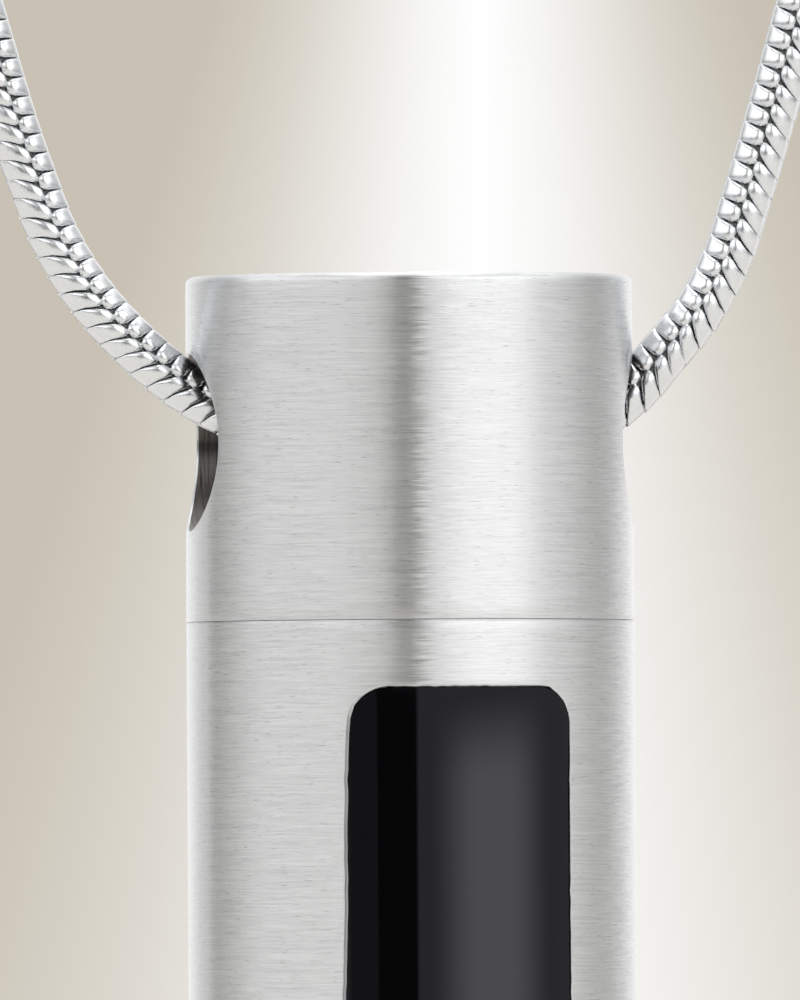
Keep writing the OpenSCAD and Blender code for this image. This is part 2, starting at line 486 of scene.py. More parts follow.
# %% The cap's wall with the chain hole
HOLE_R = 2.03
HOLE_DOWN = 3.75
HOLE_Z = CAP_TOP - HOLE_DOWN
HOLE_RIM = 0.09
HOLE_LIP = 0.1
RIM_DEPTH = 0.07
HOLE_SIDE = 24
HOLE_PANEL = math.radians(32)
RIM_STEPS = 5
RING_SHARES = (0, 0.1, 0.22, 0.36, 0.52, 0.68, 0.84, 1)
LIP_POWER = 6
CAP_EDGE = [
    # how far in from the wall and how far below the top, from the wall up to the flat top
    (0.0, 0.18), (0.003, 0.15), (0.013, 0.115), (0.034, 0.08),
    (0.064, 0.05), (0.105, 0.024), (0.155, 0.008), (0.22, 0.0),
]
WALL_LOW = SEAM + SEAM_BREAK
WALL_HIGH = CAP_TOP - CAP_EDGE[0][1]


def hole_circle(radius, lip=0.0):
    """The drill's circle as y and z, from its panel's lower left corner, drawn in at its low end by lip."""
    angles = np.radians(np.linspace(-135, 225, 4 * HOLE_SIDE + 1))
    radius = radius - lip * np.clip(-np.sin(angles), 0, 1) ** LIP_POWER
    return radius * np.cos(angles), HOLE_Z + radius * np.sin(angles)


def hole_wall(side):
    """The wall round one mouth of the hole, its soft rim, and the loop where the bore starts."""
    centre = side * math.pi / 2
    turns = centre + np.linspace(-HOLE_PANEL, HOLE_PANEL, HOLE_SIDE + 1)
    outline = rectangle(turns, np.linspace(WALL_LOW, WALL_HIGH, HOLE_SIDE + 1))
    y, z = hole_circle(HOLE_R + HOLE_RIM)
    rim = np.stack([centre + np.arcsin(y / URN_R), z], -1)
    y, z = hole_circle(HOLE_R, HOLE_LIP)
    edge_turn = centre + np.arcsin(y / URN_R)
    edge = on_round(URN_R, edge_turn, z)
    start = on_round(URN_R, rim[:, 0], rim[:, 1])
    end = edge - np.array([side * RIM_DEPTH, 0.0, 0.0])
    return around(rim, outline, RING_SHARES), rounded(start, edge, end, RIM_STEPS), end


right_wall, right_rim, right_loop = hole_wall(1)
left_wall, left_rim, left_loop = hole_wall(-1)
print(f"the hole's rim is {len(right_loop) - 1} points round")

# %% [markdown]
# Seen from the axis the two mouths mirror each other: the left one's loop runs the other way in y. The bore
# joins each point of one loop to the point with the same height and depth on the other. The rest of the cap
# is lathe work: the flat top with its soft edge, the broken edge at the seam, and the plain stud below.
# Last the whole cap narrows by a hair towards its top, because the brushing takes off more there.

# %% The cap
STUD_R = 2.66
STUD_CHAMFER = 0.3
STUD_RING = 1.2
FACE_RINGS = (4.2, 3.4)
FLAT_SHARES = (0.85, 0.7, 0.5, 0.3, 0.1, 0.02, 0.0)
CAP_TAPER = 0.022
BORE_STEPS = 12
turns_right = math.pi / 2 + np.linspace(-HOLE_PANEL, HOLE_PANEL, HOLE_SIDE + 1)
turns_left = turns_right - math.pi
turns_front = arc(turns_left[-1], turns_right[0])
turns_back_right = arc(turns_right[-1], math.pi)
turns_back_left = arc(-math.pi, turns_left[0])
cap_turns = np.concatenate([
    turns_back_left[:-1], turns_left[:-1], turns_front[:-1], turns_right[:-1], turns_back_right,
])
cap_rows = np.linspace(WALL_LOW, WALL_HIGH, HOLE_SIDE + 1)


def plain_wall(turns, rows):
    """A plain stretch of the round wall."""
    return patch(on_round(URN_R, turns[None, :], rows[:, None]), rows[:, None], turns[None, :] * URN_R)


def bore(first, last):
    """The drilled wall between two loops of points."""
    t = np.linspace(0, 1, BORE_STEPS + 1)[:, None, None]
    points = first * (1 - t) + last * t
    angle = np.radians(np.linspace(0, 360, len(first)))
    # the bore takes the darker steel, painted shade inside the hole
    return patch(points, points[..., 0], angle[None, :] * HOLE_R, INSIDE)


mirrored = left_loop[::-1]
start_at = int(np.argmin(np.linalg.norm(mirrored[:-1, 1:] - right_loop[0, 1:], axis=1)))
mirrored = np.concatenate([mirrored[start_at:-1], mirrored[:start_at + 1]])
top_profile = [(URN_R - inward, CAP_TOP - down) for inward, down in CAP_EDGE] + [
    (URN_R * share, CAP_TOP) for share in FLAT_SHARES
]
low_profile = corner(URN_R - SEAM_BREAK, SEAM + SEAM_BREAK, SEAM_BREAK, 0, -90, 3) + [
    *[(ring, SEAM) for ring in FACE_RINGS], (STUD_R, SEAM), (STUD_R, STUD_END + STUD_CHAMFER),
    (STUD_R - STUD_CHAMFER, STUD_END), (STUD_RING, STUD_END), (0.0, STUD_END),
]
cap_patches = [
    right_wall, right_rim, left_wall, left_rim, bore(mirrored, right_loop),
    plain_wall(turns_front, cap_rows), plain_wall(turns_back_left, cap_rows),
    plain_wall(turns_back_right, cap_rows), lathe(top_profile, cap_turns), lathe(low_profile, cap_turns),
]
for points, _, _ in cap_patches:
    up = np.clip((points[..., 2:] - SEAM) / (CAP_TOP - SEAM), 0, 1)
    points[..., :2] *= 1 - CAP_TAPER / URN_R * up
cap = solid("cap_body", cap_patches, [STEEL, BORE_SHADE_STEEL])

# %% [markdown]
# The tube has the long window milled into its front. The cutter came straight from the front, so the
# window's corners are round in that view and its sides run back parallel to each other. A filed window is
# never quite true: it narrows by a hair towards its ends and leans, its left edge waves a little and is
# filed softer than its right one, and all of it is ragged by a hundredth of a millimetre, with one nick.

# %% The window's outline
WINDOW_W = 5.2
WINDOW_H = 24.0
WINDOW_R = 0.8
WINDOW_DOWN = 1.472
WINDOW_Z = TUBE_TOP - WINDOW_DOWN - WINDOW_H / 2
WINDOW_TURN = math.radians(7)
RECESS = 0.6
RECESS_R = URN_R - RECESS
WINDOW_RIM = 0.07
SIDE_FROM = 0.8
SIDE_FADE = 0.15
CORNER_ROWS = 12
SIDE_ROWS = 90
ACROSS = 24
WANDER = 0.006
WANDER_SEED = 11
NICK_AT = 2.03
NICK_HIGH = 0.06
NICK_WIDE = 0.06
BOW = 0.096
LEAN = 0.08
LEAN_FROM = 0.5
WAVE = 0.05
WAVE_AT = 0.56
WAVE_LENGTH = 0.16
FALL_LEFT = 0.016
SHARP_RIGHT = 0.045
FALL_RIGHT = 0.02
RIGHT_MORE = 0.01


def window_grid(inset, wander=0.0):
    """Rows of points across the window, as x across it and z: the rows in the corners follow their arc."""
    half, tall, r = WINDOW_W / 2 - inset, WINDOW_H / 2 - inset, max(WINDOW_R - inset, 0.05)
    angles = np.linspace(0, math.pi / 2, CORNER_ROWS + 1)
    upper = [(tall - r + r * math.sin(a), half - r + r * math.cos(a)) for a in angles]
    lower = [(-z, width) for z, width in upper[::-1]]
    middle = [(z, half) for z in np.linspace(-(tall - r), tall - r, SIDE_ROWS + 1)[1:-1]]
    rows = np.array(lower + middle + upper)
    share = np.linspace(-1, 1, ACROSS + 1)
    x = rows[:, 1:] * share[None, :]
    z = np.repeat(rows[:, :1], ACROSS + 1, axis=1)
    away = z / (WINDOW_H / 2)
    x = x - BOW * away**2 * share[None, :] + LEAN * (away**3 - LEAN_FROM)
    x = x + WAVE * np.exp(-(((away - WAVE_AT) / WAVE_LENGTH) ** 2)) * np.clip(-share[None, :], 0, 1) ** 3
    x = x + RIGHT_MORE * np.clip(share[None, :], 0, 1) ** 3
    if wander:
        ragged = np.random.default_rng(WANDER_SEED)
        x = x + ragged.normal(0, wander, x.shape) * np.abs(share[None, :]) ** 3
        end = np.clip((np.abs(z) - tall + r) / r, 0, 1) ** 3
        z = z + ragged.normal(0, wander, x.shape) * end
        z = z + NICK_HIGH * (z > 0) * end * np.exp(-(((x - NICK_AT) / NICK_WIDE) ** 2))
    return np.stack([x, z + WINDOW_Z], -1)


def on_window(radius, grid):
    """Puts a grid of (x across, z) on a round of that radius, seen straight from the window's front."""
    return on_round(radius, WINDOW_TURN + np.arcsin(grid[..., 0] / radius), grid[..., 1])


def unrolled(radius, grid):
    """The same points as (turn, z) pairs."""
    return np.stack([WINDOW_TURN + np.arcsin(grid[..., 0] / radius), grid[..., 1]], -1)


def beside(loop, side):
    """1 along one side of the window, -1 its left and 1 its right, and fading to 0 in its corners."""
    return np.clip((side * loop[:, :1] / (WINDOW_W / 2) - SIDE_FROM) / SIDE_FADE, 0, 1)


print(f"the window's outline has {len(loop_of(window_grid(0.0))) - 1} points")

# %% [markdown]
# Inside, the tube is bored for the ashes, with a thread at its mouth. Only its first few millimetres show,
# when the cap is off, but a wall that is really there gives the mouth its depth. The bottom is turned flat
# with a rounded edge. The mouth's face stands up by a hair just inside the wall, so that the seam is a
# shallow line with a steel ground and not a slit.

# %% The tube
WINDOW_PANEL = math.radians(40)
CHAMBER_R = 3.1
MOUTH_R = 3.36
MOUTH_DEPTH = 5.2
MOUTH_CHAMFER = 0.1
GROUND = SEAM - 0.008
GROUND_FALL = 0.01
GROUND_RINGS = (4.3, 4.2)
FLOOR_THICK = 1.6
CHAMBER_FLOOR = TUBE_BOTTOM + FLOOR_THICK
CHAMBER_BEVEL = 0.2
CHAMBER_RING = 1.5
WALL_WAY = 0.5
tube_low_row = TUBE_BOTTOM + EDGE_R
tube_high_row = TUBE_TOP - SEAM_BREAK
window_z = window_grid(0.0)[:, 0, 1]
spread = (window_z - window_z[0]) / (window_z[-1] - window_z[0])
tube_rows = tube_low_row + (tube_high_row - tube_low_row) * spread
panel_turns = np.linspace(WINDOW_TURN - WINDOW_PANEL, WINDOW_TURN + WINDOW_PANEL, ACROSS + 1)
side_right = arc(panel_turns[-1], math.pi)
side_left = arc(-math.pi, panel_turns[0])
tube_turns = np.concatenate([side_left[:-1], panel_turns[:-1], side_right])
rim_grid = window_grid(-WINDOW_RIM, WANDER)
rim_grid[:, -1, 0] -= SHARP_RIGHT
edge_grid = window_grid(0.0, WANDER)
rim_loop = loop_of(unrolled(URN_R, rim_grid))
edge_loop = loop_of(on_window(URN_R, edge_grid))
into = np.array(direction(WINDOW_TURN))
rim_start = on_round(URN_R, rim_loop[:, 0], rim_loop[:, 1])
left = beside(loop_of(edge_grid), -1)
right = beside(loop_of(edge_grid), 1)
rim_bend = edge_loop + (rim_start - edge_loop) * left / 2
rim_fall = WINDOW_RIM + (FALL_LEFT - WINDOW_RIM) * left + (FALL_RIGHT - WINDOW_RIM) * right
rim_end = edge_loop - into * rim_fall
floor_grid = on_window(RECESS_R, edge_grid)
floor_loop = loop_of(floor_grid)


def straight(first, last):
    """The straight wall between two loops of points, in two rows of faces."""
    t = np.linspace(0, 1, 3)[:, None, None]
    return patch(first * (1 - t) + last * t, t[..., 0] * WALL_WAY, lengths_along(first)[None, :])


top_of_tube = corner(URN_R - SEAM_BREAK, tube_high_row, SEAM_BREAK, 0, 90, 3) + [
    (URN_R - SEAM_LIP, TUBE_TOP), (URN_R - SEAM_LIP - GROUND_FALL, GROUND), (GROUND_RINGS[0], GROUND),
    (GROUND_RINGS[1], TUBE_TOP), (MOUTH_R + MOUTH_CHAMFER, TUBE_TOP), (MOUTH_R, TUBE_TOP - MOUTH_CHAMFER),
    (MOUTH_R, TUBE_TOP - MOUTH_DEPTH), (CHAMBER_R, TUBE_TOP - MOUTH_DEPTH),
    (CHAMBER_R, CHAMBER_FLOOR + CHAMBER_BEVEL), (CHAMBER_R - CHAMBER_BEVEL, CHAMBER_FLOOR),
    (CHAMBER_RING, CHAMBER_FLOOR), (0.0, CHAMBER_FLOOR),
]
bottom_of_tube = corner(URN_R - EDGE_R, tube_low_row, EDGE_R, 0, -90) + [
    (URN_R * share, TUBE_BOTTOM) for share in FLAT_SHARES
]
tube = solid("tube_body", [
    around(rim_loop, rectangle(panel_turns, tube_rows), RING_SHARES),
    rounded(rim_start, rim_bend, rim_end, 4),
    straight(rim_end, floor_loop),
    patch(floor_grid, floor_grid[..., 2], floor_grid[..., 0]),
    plain_wall(side_left, tube_rows), plain_wall(side_right, tube_rows),
    lathe(top_of_tube, tube_turns), lathe(bottom_of_tube, tube_turns),
], [STEEL, BORE_SHADE_STEEL])

# %% [markdown]
# The black panel fills the recess to a few hundredths of a millimetre under the wall. Poured resin creeps
# up the recess's ends before it cures, so its surface rises to the wall there, and the mirrored lights
# fade. Along its sides it sinks by a hair, and its points lie closer together there, because a mirror
# shows each face.

# %% The black panel
INLAY_GAP = 0.01
SIDE_SHARES = np.array([0.94, 0.965, 0.985, 1])
MIDDLE_SHARES = np.linspace(-0.9, 0.9, 25)
CREEP = 0.04
CREEP_LENGTH = 2.4
SIDE_FALL = 0.001
SIDE_LENGTH = 0.1


def panel_radius(grid):
    """How far the panel's surface lies from the urn's axis at each of its points."""
    to_end = WINDOW_H / 2 - INLAY_GAP - np.abs(grid[..., 1] - WINDOW_Z)
    to_side = WINDOW_W / 2 - INLAY_GAP - np.abs(grid[..., 0])
    end = np.clip(1 - to_end / CREEP_LENGTH, 0, 1) ** 2
    side = np.clip(1 - to_side / SIDE_LENGTH, 0, 1) ** 2
    return URN_R - CREEP * (1 - end) - SIDE_FALL * side


panel_rows = window_grid(INLAY_GAP)
shares = np.concatenate([-SIDE_SHARES[::-1], MIDDLE_SHARES, SIDE_SHARES])
left_side = panel_rows[:, :1]
right_side = panel_rows[:, -1:]
panel_face = left_side + (right_side - left_side) * (shares[None, :, None] + 1) / 2
radius = panel_radius(panel_face)
face_points = on_window(radius, panel_face)
back_points = on_window(RECESS_R + INLAY_GAP, panel_face)
panel = solid("black_panel", [
    patch(face_points, panel_face[..., 1], panel_face[..., 0]),
    straight(loop_of(face_points), loop_of(back_points)),
    patch(back_points, panel_face[..., 1], panel_face[..., 0]),
], [RESIN])

# %% [markdown]
# The clasp is hidden at the nape in every picture of the necklace, so it stays a plain turned barrel, with
# a socket in each end for the chain. It is lathe work again, turned round the X axis by swapping the axes.

# %% The clasp
CLASP_R = clasp_high.z
CLASP_HALF = clasp_high.x
CLASP_ROUND = 0.5
SOCKET_R = 0.58
SOCKET_END = 4.47
SOCKET_CHAMFER = 0.08
BARREL_ROWS = (2.0, 0.0, -2.0)
half_profile = [
    (0.0, SOCKET_END), (SOCKET_R, SOCKET_END), (SOCKET_R, CLASP_HALF - SOCKET_CHAMFER),
    (SOCKET_R + SOCKET_CHAMFER, CLASP_HALF),
] + corner(CLASP_R - CLASP_ROUND, CLASP_HALF - CLASP_ROUND, CLASP_ROUND, 90, 0)
barrel = [(CLASP_R, x) for x in BARREL_ROWS]
other_half = [(r, -x) for r, x in half_profile[::-1]]
grid, brush, _ = lathe(half_profile + barrel + other_half, arc(-math.pi, math.pi))
clasp = solid("clasp_barrel", [(grid[..., [2, 0, 1]], brush, WALL)], [STEEL])

# %% [markdown]
# Geometry Nodes make what repeats. Each tree is written out here with named inputs for its sizes. It is
# put on an object that holds the path, its result is copied to a plain mesh, and the modifier goes with the
# path object. An input is set through its identifier, because a modifier doesn't know it by its name. Each
# tree ends by making its instances real and setting the material, because an export drops instances.

# %% Two helpers for geometry trees


def new_tree(name, sizes):
    """A geometry tree with named inputs, each given as its name, kind of socket and value."""
    tree = bpy.data.node_groups.new(name, "GeometryNodeTree")
    tree.interface.new_socket("Geometry", in_out="INPUT", socket_type="NodeSocketGeometry")
    tree.interface.new_socket("Geometry", in_out="OUTPUT", socket_type="NodeSocketGeometry")
    for label, kind, value in sizes:
        socket = tree.interface.new_socket(label, in_out="INPUT", socket_type="NodeSocket" + kind)
        if value is not None:
            socket.default_value = value
    return tree, add(tree, "NodeGroupInput").outputs


def grow(name, tree, line, values):
    """Runs a tree on a line of points and returns the result as a plain mesh object."""
    path = bpy.data.meshes.new(name + "_path")
    path.from_pydata([tuple(p) for p in line], [(i, i + 1) for i in range(len(line) - 1)], [])
    source = new_object(name + "_source", path)
    modifier = source.modifiers.new("grow", "NODES")
    modifier.node_group = tree
    for item in tree.interface.items_tree:
        if item.in_out == "INPUT" and item.name in values:
            modifier[item.identifier] = values[item.name]
    bpy.context.view_layer.update()
    evaluated = source.evaluated_get(bpy.context.evaluated_depsgraph_get())
    mesh = bpy.data.meshes.new_from_object(evaluated)
    mesh.name = name
    bpy.data.objects.remove(source)
    mesh.calc_loop_triangles()
    print(f"{name}: {len(mesh.loop_triangles)} triangles")
    return new_object(name, mesh)


# %% [markdown]
# One link of the snake chain is a bent plate that reaches half way round the chain: it starts with a
# rounded head at the front seam, slants back round the outer side, and ends at the back seam. Its twin on
# the inner side is the same plate turned half a turn and moved on by half a pitch, so the heads interleave.
# The plate is a short table of stations along the bend, each with how much it dips, narrows and lags. The
# long runs up to the nape are seen from far away, so their plates use only some of the stations.

# %% The link's sizes
CHAIN_R = 0.567
PITCH = 0.446
PLATE_WIDTH = 0.435
PLATE_THICK = 0.17
SEAM_TURN = -10.0
OVERHANG = 5.0
LAG_AT_LIMB = -0.36
LAG_AT_END = -0.465
LAG_BEND = 0.5
NEAR_STATIONS = [
    # share of the way round, dip below the chain's round, share of the full width, depth of its soft edges
    (0.000, 0.150, 0.26, 1.6),
    (0.018, 0.092, 0.54, 1.6),
    (0.048, 0.046, 0.75, 1.5),
    (0.090, 0.015, 0.915, 1.4),
    (0.150, 0.000, 0.985, 1.2),
    (0.250, 0.000, 1.00, 0.8),
    (0.330, 0.000, 1.02, 0.10),
    (0.550, 0.000, 1.03, 0.05),
    (0.660, 0.008, 1.02, 0.3),
    (0.750, 0.024, 0.965, 1.0),
    (0.830, 0.010, 0.965, 1.5),
    (0.895, 0.008, 0.93, 1.6),
    (0.945, 0.040, 0.77, 1.6),
    (0.980, 0.088, 0.55, 1.6),
    (1.000, 0.150, 0.25, 1.6),
]
NEAR_SECTION = [
    # share of the half width, depth as a share of the thickness, and whether it belongs to a soft edge
    (-1.00, 0.40, True), (-0.86, 0.16, True), (-0.55, 0.03, True), (0.55, 0.03, True),
    (0.86, 0.16, True), (1.00, 0.40, True), (0.96, 1.0, False), (-0.96, 1.0, False),
]
FAR_STATIONS = [NEAR_STATIONS[i] for i in (0, 2, 5, 7, 9, 12, 14)]
FAR_SECTION = [NEAR_SECTION[i] for i in (0, 2, 3, 5, 6, 7)]


def lag(angle):
    """How far along the chain the plate's middle lies at an angle round it, in degrees."""
    seam = math.sin(math.radians(SEAM_TURN))
    if angle <= 90:
        share = (math.sin(math.radians(angle)) - seam) / (1 - seam)
        return LAG_AT_LIMB * (share + LAG_BEND * (share**2 * (3 - 2 * share) - share))
    back = (angle - 90) / (90 + SEAM_TURN)
    return LAG_AT_LIMB + (LAG_AT_END - LAG_AT_LIMB) * math.sin(back * math.pi / 2)


print("the plate lags by", [round(lag(a), 2) for a in (-10, 40, 90, 130, 170)], "mm")

# %% The link


def make_link(name, stations, section):
    """One plate along +Z, with the chain's front towards -Y and the loop's outer side towards +X."""
    rings = []
    for share, dip, width, round_edge in stations:
        angle = SEAM_TURN - OVERHANG + (180 + 2 * OVERHANG) * share
        way = math.radians(angle)
        ring = []
        for across, depth, on_edge in section:
            radius = CHAIN_R - dip - depth * PLATE_THICK * (round_edge if on_edge else 1.0)
            z = lag(angle) + across * width * PLATE_WIDTH / 2
            ring.append((radius * math.sin(way), -radius * math.cos(way), z))
        rings.append(ring + ring[:1])
    rings = np.array(rings)
    first, last = rings[0].mean(0), rings[-1].mean(0)
    rings = np.concatenate([np.repeat(first[None, None], rings.shape[1], 1), rings,
                            np.repeat(last[None, None], rings.shape[1], 1)])
    u = np.linspace(0, 1, len(rings))[:, None]
    v = np.linspace(0, 1, rings.shape[1])[None, :]
    return solid(name, [patch(rings, u, v)], [LINK_STEEL])


near_link = make_link("near_link", NEAR_STATIONS, NEAR_SECTION)
far_link = make_link("far_link", FAR_STATIONS, FAR_SECTION)

# %% [markdown]
# The chain's tree spaces points along the path by half a pitch and puts a link on each, turned half a turn
# on every other one. A thin core runs behind the links. Two whole numbers choose which stretch of the chain
# is made, so that the two long runs and the short run near the pendant are pieces of their own. How far
# that short run reaches is in metres, as the route is. The core's faces carry a mark, so that the last node
# can find them among the links' faces and give them the darker steel, which is painted shade for the gaps.

# %% The chain's tree
CORE_SIDES = 8


def chain_tree():
    """Links spaced evenly along a path, every other one turned half a turn, with a core behind."""
    tree, size = new_tree("snake_chain", [
        ("Link", "Object", None), ("Halves", "Int", 100), ("First", "Int", 0), ("Last", "Int", 100),
        ("Core Radius", "Float", 0.0003), ("Steel", "Material", None), ("Core", "Material", None),
        ("Play", "Float", 0.02), ("Seed", "Int", 7),
    ])
    curve = add(tree, "GeometryNodeMeshToCurve", {"Mesh": size["Geometry"]}).outputs[0]
    count = add(tree, "ShaderNodeMath", {0: size["Halves"], 1: 1.0}, operation="ADD").outputs[0]
    even = add(tree, "GeometryNodeResampleCurve", {"Curve": curve, "Count": count}).outputs[0]
    index = add(tree, "GeometryNodeInputIndex").outputs[0]
    after = add(tree, "FunctionNodeCompare", {2: index, 3: size["First"]},
                data_type="INT", operation="GREATER_EQUAL").outputs[0]
    before = add(tree, "FunctionNodeCompare", {2: index, 3: size["Last"]},
                 data_type="INT", operation="LESS_THAN").outputs[0]
    chosen = add(tree, "FunctionNodeBooleanMath", {0: after, 1: before}, operation="AND").outputs[0]
    way = add(tree, "GeometryNodeInputTangent").outputs[0]
    facing = add(tree, "FunctionNodeAxesToRotation", {"Primary Axis": way, "Secondary Axis": (0, 1, 0)},
                 primary_axis="Z", secondary_axis="Y").outputs[0]
    odd = add(tree, "ShaderNodeMath", {0: index, 1: 2.0}, operation="MODULO").outputs[0]
    half_turn = add(tree, "ShaderNodeMath", {0: odd, 1: math.pi}, operation="MULTIPLY").outputs[0]
    low = add(tree, "ShaderNodeMath", {0: size["Play"], 1: -1.0}, operation="MULTIPLY").outputs[0]
    play = add(tree, "FunctionNodeRandomValue", {
        2: low, 3: size["Play"], "Seed": size["Seed"],
    }).outputs[1]
    turn = add(tree, "ShaderNodeMath", {0: half_turn, 1: play}, operation="ADD").outputs[0]
    turn_vector = add(tree, "ShaderNodeCombineXYZ", {"Z": turn}).outputs[0]
    roll = add(tree, "FunctionNodeEulerToRotation", {0: turn_vector}).outputs[0]
    placed = add(tree, "FunctionNodeRotateRotation", {
        0: facing, 1: roll,
    }, rotation_space="LOCAL").outputs[0]
    shape = add(tree, "GeometryNodeObjectInfo", {"Object": size["Link"]}).outputs["Geometry"]
    links = add(tree, "GeometryNodeInstanceOnPoints", {
        "Points": even, "Selection": chosen, "Instance": shape, "Rotation": placed,
    }).outputs[0]
    start = add(tree, "ShaderNodeMath", {0: size["First"], 1: size["Halves"]}, operation="DIVIDE").outputs[0]
    stop = add(tree, "ShaderNodeMath", {0: size["Last"], 1: size["Halves"]}, operation="DIVIDE").outputs[0]
    stretch = add(tree, "GeometryNodeTrimCurve", {"Curve": curve, 2: start, 3: stop}).outputs[0]
    profile = add(tree, "GeometryNodeCurvePrimitiveCircle", {
        "Resolution": CORE_SIDES, "Radius": size["Core Radius"],
    }).outputs[0]
    core = add(tree, "GeometryNodeCurveToMesh", {
        "Curve": stretch, "Profile Curve": profile, "Fill Caps": True,
    }).outputs[0]
    marked = add(tree, "GeometryNodeStoreNamedAttribute", {
        "Geometry": core, "Name": "core", "Value": 1.0,
    }, data_type="FLOAT", domain="FACE").outputs[0]
    joined = add(tree, "GeometryNodeJoinGeometry")
    tree.links.new(marked, joined.inputs[0])
    tree.links.new(links, joined.inputs[0])
    real = add(tree, "GeometryNodeRealizeInstances", {"Geometry": joined.outputs[0]}).outputs[0]
    steel = add(tree, "GeometryNodeSetMaterial", {"Geometry": real, "Material": size["Steel"]}).outputs[0]
    # the core's faces get the darker steel, painted shade behind the links
    is_core = add(tree, "GeometryNodeInputNamedAttribute", {"Name": "core"}, data_type="FLOAT").outputs[0]
    inner = add(tree, "FunctionNodeCompare", {0: is_core, 1: 0.5}, operation="GREATER_THAN").outputs[0]
    both = add(tree, "GeometryNodeSetMaterial", {
        "Geometry": steel, "Selection": inner, "Material": size["Core"],
    }).outputs[0]
    add(tree, "NodeGroupOutput", {"Geometry": both})
    return tree


CHAIN_TREE = chain_tree()
print("the chain's tree has", len(CHAIN_TREE.nodes), "nodes")

# %% The chain
NEAR_REACH = 0.0155
CORE_R = 0.36
PLAY = 0.03
PLAY_SEED = 7
halves = 2 * round(route_length / (PITCH * MM))
middle = lengths_along(route)[int(np.argmin(route[:, 1]))]
first_near = 2 * round((middle - NEAR_REACH) / route_length * halves / 2)
last_near = 2 * round((middle + NEAR_REACH) / route_length * halves / 2)
line = [(x, 0.0, z) for x, z in route]
chain = []
for name, link, first, last in (
    ("chain_left", far_link, 0, first_near), ("chain_near", near_link, first_near, last_near),
    ("chain_right", far_link, last_near, halves),
):
    chain.append(grow(name, CHAIN_TREE, line, {
        "Link": link, "Halves": halves, "First": first, "Last": last, "Core Radius": CORE_R * MM,
        "Steel": LINK_STEEL, "Core": CORE_SHADE_STEEL, "Play": PLAY, "Seed": PLAY_SEED,
    }))
for link in (near_link, far_link):
    bpy.data.objects.remove(link)
print(f"{halves} plates, a pitch of {2 * route_length / halves / MM:.4f} mm")

# %% [markdown]
# The screw thread shows only when the cap is off. A thread is a ridge that follows a spiral, so its tree
# sweeps a three-sided profile along a spiral. The same tree, with its profile turned inwards, makes the
# thread in the tube's mouth, and the two ridges lie half a pitch apart, as those of a nut and a bolt do.

# %% The thread's tree
THREAD_PITCH = 0.75
THREAD_TURNS = 4.5
THREAD_START = STUD_END + 0.6
TURN_STEPS = 48
STUD_RIDGE = 0.34
MOUTH_RIDGE = 0.26
STUD_RIDGE_R = STUD_R - 0.02
MOUTH_RIDGE_R = MOUTH_R + 0.05


def thread_tree():
    """A three-sided ridge swept along a spiral, whose profile leans outwards or inwards."""
    tree, size = new_tree("screw_thread", [
        ("Turns", "Float", 4.0), ("Radius", "Float", 0.003), ("Height", "Float", 0.003),
        ("Ridge", "Float", 0.0003), ("Lean", "Float", 0.0), ("Start", "Vector", (0, 0, 0)),
        ("Steel", "Material", None),
    ])
    spiral = add(tree, "GeometryNodeCurveSpiral", {
        "Resolution": TURN_STEPS, "Rotations": size["Turns"], "Start Radius": size["Radius"],
        "End Radius": size["Radius"], "Height": size["Height"],
    }).outputs[0]
    upright = add(tree, "GeometryNodeSetCurveNormal", {0: spiral}, mode="Z_UP").outputs[0]
    ridge = add(tree, "GeometryNodeCurvePrimitiveCircle", {
        "Resolution": 3, "Radius": size["Ridge"],
    }).outputs[0]
    lean = add(tree, "ShaderNodeCombineXYZ", {"Z": size["Lean"]}).outputs[0]
    profile = add(tree, "GeometryNodeTransform", {"Geometry": ridge, "Rotation": lean}).outputs[0]
    swept = add(tree, "GeometryNodeCurveToMesh", {
        "Curve": upright, "Profile Curve": profile, "Fill Caps": True,
    }).outputs[0]
    moved = add(tree, "GeometryNodeSetPosition", {"Geometry": swept, "Offset": size["Start"]}).outputs[0]
    real = add(tree, "GeometryNodeRealizeInstances", {"Geometry": moved}).outputs[0]
    steel = add(tree, "GeometryNodeSetMaterial", {"Geometry": real, "Material": size["Steel"]}).outputs[0]
    add(tree, "NodeGroupOutput", {"Geometry": steel})
    return tree


THREAD_TREE = thread_tree()


def thread(name, radius, ridge, lean, start):
    """One thread, with its ridge's middle on a radius and its first turn at a height."""
    # the threads take the darker steel, painted shade as in the bore
    return grow(name, THREAD_TREE, [(0, 0, 0)], {
        "Turns": THREAD_TURNS, "Height": THREAD_TURNS * THREAD_PITCH * MM, "Radius": radius * MM,
        "Ridge": ridge * MM, "Lean": lean, "Start": (0.0, 0.0, start * MM), "Steel": BORE_SHADE_STEEL,
    })


stud_thread = thread("stud_thread", STUD_RIDGE_R, STUD_RIDGE, 0.0, THREAD_START)
mouth_start = THREAD_START + THREAD_PITCH / 2
mouth_thread = thread("mouth_thread", MOUTH_RIDGE_R, MOUTH_RIDGE, math.pi, mouth_start)

# %% [markdown]
# Steel shows its room more than itself, so the light makes the picture. The pendant is photographed in a
# studio of big softboxes, which are drawn here in the world's shader, where they cost no render time. Each
# one is a window of directions with soft edges: its sides are angles round the pendant from the camera's
# own place towards the viewer's right, and its rises are angles above level, both in degrees.

